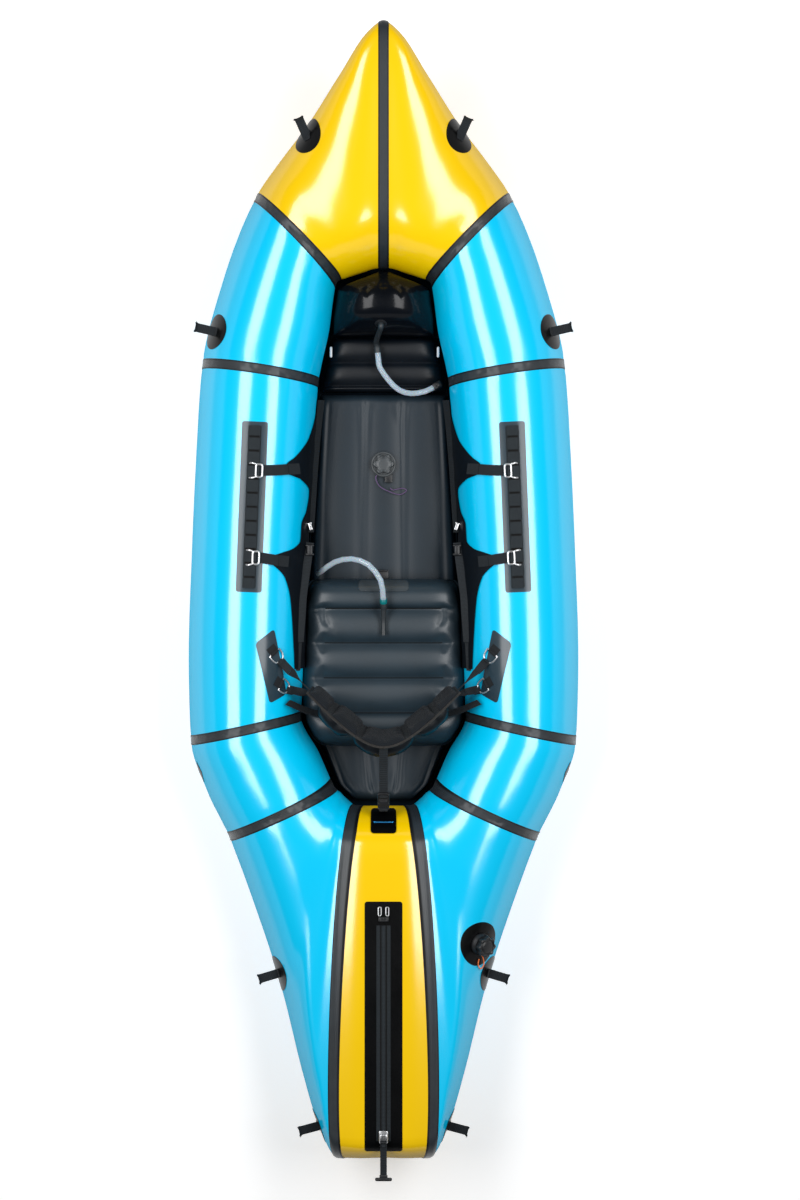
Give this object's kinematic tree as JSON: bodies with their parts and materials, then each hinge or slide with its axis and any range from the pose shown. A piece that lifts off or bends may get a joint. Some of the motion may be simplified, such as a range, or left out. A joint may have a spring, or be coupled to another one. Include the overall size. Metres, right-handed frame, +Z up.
{
  "type": "packraft",
  "caption": "Inflatable one-person raft with a pointed bow, side tubes round an open cockpit, a cushion seat, backrest, foot brace and a zip on the stern deck.",
  "frame": {"origin": "flat underside of the floor sheet, on the centre plane", "axes": "+Y to the bow, +Z up, +X to the right-hand side seen from above with the bow ahead"},
  "size_m": [0.934, 2.6923, 0.3684],
  "materials": {
    "yellow_cloth": "satin coated cloth",
    "blue_cloth": "satin coated cloth",
    "floor_cloth": "satin coated cloth",
    "cushion_cloth": "coated cloth over air",
    "clear_hose": "clear gloss",
    "steel": "polished wire",
    "valve_plastic": "fine grain",
    "black_plastic": "fine grain",
    "cord": "braided",
    "patch": "satin coated cloth",
    "webbing": "woven"
  },
  "bodies": {
    "hull": {"bow_panel_left": "yellow_cloth", "front_panel_left": "blue_cloth", "mid_panel_left": "blue_cloth", "rear_panel_left": "blue_cloth", "stern_panel_left": "blue_cloth", "bow_panel_right": "yellow_cloth", "front_panel_right": "blue_cloth", "mid_panel_right": "blue_cloth", "rear_panel_right": "blue_cloth", "stern_panel_right": "blue_cloth", "stern_deck_panel": "yellow_cloth", "hull_floor_sheet": "floor_cloth", "floor_mat": "cushion_cloth", "foot_brace_base": "cushion_cloth", "foot_brace_pillow": "cushion_cloth", "seat_cushion": "cushion_cloth", "backrest_patch_left": "patch", "backrest_strap_upper_left": "webbing", "backrest_strap_lower_left": "webbing", "backrest_patch_right": "patch", "backrest_strap_upper_right": "webbing", "backrest_strap_lower_right": "webbing", "tie_down_bow_left": "patch", "tie_down_bow_right": "patch", "tie_down_front_left": "patch", "tie_down_front_right": "patch", "tie_down_stern_mid_left": "patch", "tie_down_stern_mid_right": "patch", "tie_down_stern_rear_left": "patch", "tie_down_stern_rear_right": "patch", "daisy_chain_left": "patch", "daisy_chain_right": "patch", "side_panel_left": "webbing", "side_panel_right": "webbing", "main_valve_base": "patch", "floor_valve_base": "valve_plastic", "zip_patch": "patch", "rear_buckle": "black_plastic", "rear_strap": "webbing", "stern_anchor": "patch", "foot_brace_stem": "black_plastic", "foot_brace_hose": "clear_hose", "seat_stem": "black_plastic", "seat_hose": "clear_hose", "floor_valve_tether": "cord", "main_valve_tether": "cord"},
    "zip_slider": {"zip_slider": "steel"},
    "zip_pull": {"zip_pull": "black_plastic"},
    "main_valve_cap": {"main_valve_cap": "valve_plastic"},
    "floor_valve_cap": {"floor_valve_cap": "valve_plastic"},
    "backrest": {"backrest_band": "webbing", "backrest_air_cells": "cushion_cloth"},
    "backrest_ring_upper_left": {"backrest_ring_upper_left": "steel"},
    "backrest_ring_lower_left": {"backrest_ring_lower_left": "steel"},
    "backrest_ring_upper_right": {"backrest_ring_upper_right": "steel"},
    "backrest_ring_lower_right": {"backrest_ring_lower_right": "steel"},
    "hook_front_left": {"hook_front_left": "steel"},
    "hook_rear_left": {"hook_rear_left": "steel"},
    "hook_front_right": {"hook_front_right": "steel"},
    "hook_rear_right": {"hook_rear_right": "steel"}
  },
  "joints": [
    {"name": "zip_slide", "type": "slide", "parent": "hull", "child": "zip_slider", "axis": [0, 0.9995, -0.0309], "range_m": [0, 0.47]},
    {"name": "zip_pull_hinge", "type": "hinge", "parent": "zip_slider", "child": "zip_pull", "pos_m": [0, -1.25777, 0.32844], "axis": [-1, 0, 0], "range_deg": [0, 170]},
    {"name": "main_valve_cap_turn", "type": "hinge", "parent": "hull", "child": "main_valve_cap", "pos_m": [0.22696, -0.82061, 0.2587], "axis": [0.5933, -0.1692, 0.787], "range_deg": [0, 90]},
    {"name": "floor_valve_cap_turn", "type": "hinge", "parent": "hull", "child": "floor_valve_cap", "pos_m": [0, 0.31787, 0.0633], "axis": [0, 0, 1], "range_deg": [0, 90]},
    {"name": "backrest_hinge", "type": "hinge", "parent": "hull", "child": "backrest", "pos_m": [0, -0.13566, 0.26025], "axis": [-1, 0, 0], "range_deg": [0, 35], "deforming": ["backrest_strap_upper_left", "backrest_strap_lower_left", "backrest_strap_upper_right", "backrest_strap_lower_right", "rear_strap"]},
    {"name": "backrest_ring_lower_left_swing", "type": "hinge", "parent": "hull", "child": "backrest_ring_lower_left", "pos_m": [-0.24124, -0.21019, 0.25144], "axis": [-0.3795, -0.8523, 0.3601], "range_deg": [0, 110]},
    {"name": "backrest_ring_lower_right_swing", "type": "hinge", "parent": "hull", "child": "backrest_ring_lower_right", "pos_m": [0.24128, -0.21019, 0.25172], "axis": [-0.381, 0.8558, -0.35], "range_deg": [0, 110]},
    {"name": "backrest_ring_upper_left_swing", "type": "hinge", "parent": "hull", "child": "backrest_ring_upper_left", "pos_m": [-0.25613, -0.13571, 0.26345], "axis": [-0.6959, -0.6266, 0.3509], "range_deg": [0, 110]},
    {"name": "backrest_ring_upper_right_swing", "type": "hinge", "parent": "hull", "child": "backrest_ring_upper_right", "pos_m": [0.25613, -0.13571, 0.26345], "axis": [-0.6959, 0.6266, -0.3508], "range_deg": [0, 110]},
    {"name": "hook_front_left_slide", "type": "slide", "parent": "hull", "child": "hook_front_left", "axis": [0.9983, -0.0384, -0.0436], "range_m": [0, 0.03], "deforming": ["side_panel_left"]},
    {"name": "hook_front_right_slide", "type": "slide", "parent": "hull", "child": "hook_front_right", "axis": [-0.9983, -0.0384, -0.0429], "range_m": [0, 0.03], "deforming": ["side_panel_right"]},
    {"name": "hook_rear_left_slide", "type": "slide", "parent": "hull", "child": "hook_rear_left", "axis": [0.9983, -0.0384, -0.0436], "range_m": [0, 0.03], "deforming": ["side_panel_left"]},
    {"name": "hook_rear_right_slide", "type": "slide", "parent": "hull", "child": "hook_rear_right", "axis": [-0.9983, -0.0384, -0.0429], "range_m": [0, 0.03], "deforming": ["side_panel_right"]}
  ]
}
